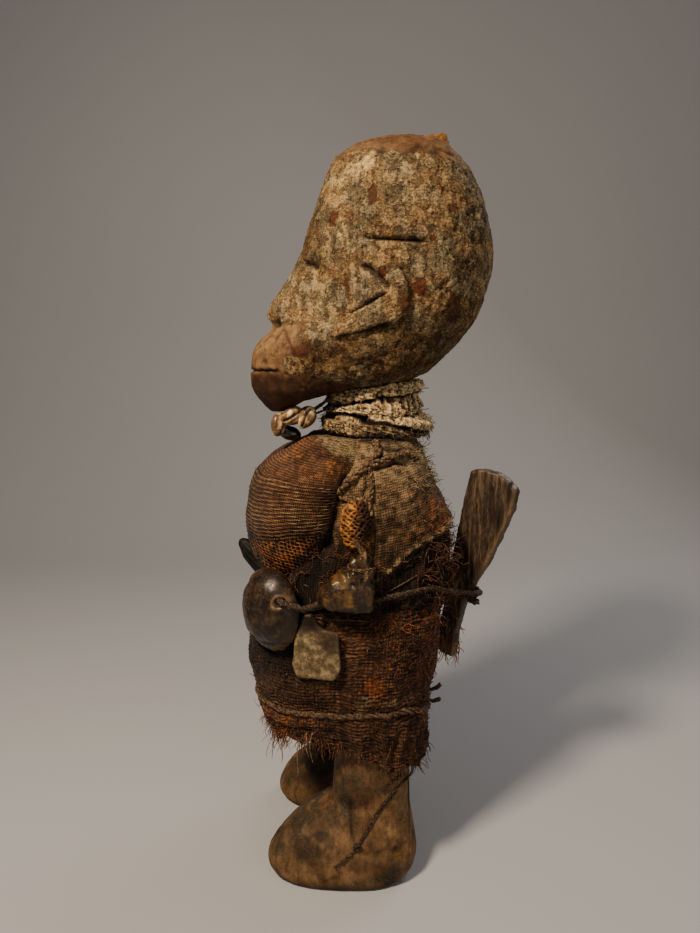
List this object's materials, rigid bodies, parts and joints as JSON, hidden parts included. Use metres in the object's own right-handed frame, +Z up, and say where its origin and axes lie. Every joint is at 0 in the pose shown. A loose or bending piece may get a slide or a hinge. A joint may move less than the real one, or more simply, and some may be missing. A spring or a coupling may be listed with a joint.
{
  "type": "vodun statuette",
  "caption": "Standing carved wooden figure with a large head, wrapped in sacking and bound with cords, hung with shells, a pouch, a bone plate, a horn and a slat of wood.",
  "frame": {"origin": "under the middle of the object's box, on the ground", "axes": "+Z up from the soles to the crown, the face looks along -Y, the figure's left side is +X"},
  "size_m": [0.1528, 0.2115, 0.52],
  "materials": {
    "figure_wood": "carved wood under a crust of grey and beige earth, bare brown wood on the muzzle and feet",
    "crusted_cloth": "twisted cloth turns under pale crusted earth",
    "corded_cloth": "brown cloth with pale ribs, earth in the weave",
    "sacking": "coarse grey-brown sacking with frayed edges",
    "dark_cloth": "dark smoked cloth with paler streaks",
    "skirt_sacking": "coarse brown sacking with orange threads, frayed hem",
    "shell_bone": "smooth brown-grey shell, greasy shine, pale rim",
    "greased_hide": "tied hide, glossy with grease, amber and beige patches",
    "raffia_net": "knotted orange-brown raffia net",
    "bone_plate": "pale mottled plate of bone, dull",
    "dark_horn": "dark worn horn, low shine",
    "slat_wood": "olive-brown slat of wood, streaked, low shine",
    "dark_cord": "dark twisted plant fibre",
    "pale_cord": "pale twisted plant fibre with earth on it",
    "cowrie": "cream shell with stained slots, low shine",
    "black_seed": "black lump, glossy with resin"
  },
  "bodies": {
    "root": {"carved_figure": "figure_wood", "neck_wrap": "crusted_cloth", "chest_bundle": "corded_cloth", "back_bundle": "sacking", "waist_wrap": "dark_cloth", "skirt_wrap": "skirt_sacking", "belly_shell": "shell_bone", "hip_pouch": "greased_hide", "net_lump": "raffia_net", "hanging_plate": "bone_plate", "dark_horn": "dark_horn", "back_slat": "slat_wood", "belt_cord": "dark_cord", "hem_cord": "pale_cord", "shoulder_straps": "pale_cord", "leg_string": "dark_cord", "cowrie_1": "cowrie", "cowrie_2": "cowrie", "cowrie_3": "cowrie", "black_pendant": "black_seed", "cowrie_cord": "dark_cord"}
  },
  "joints": []
}
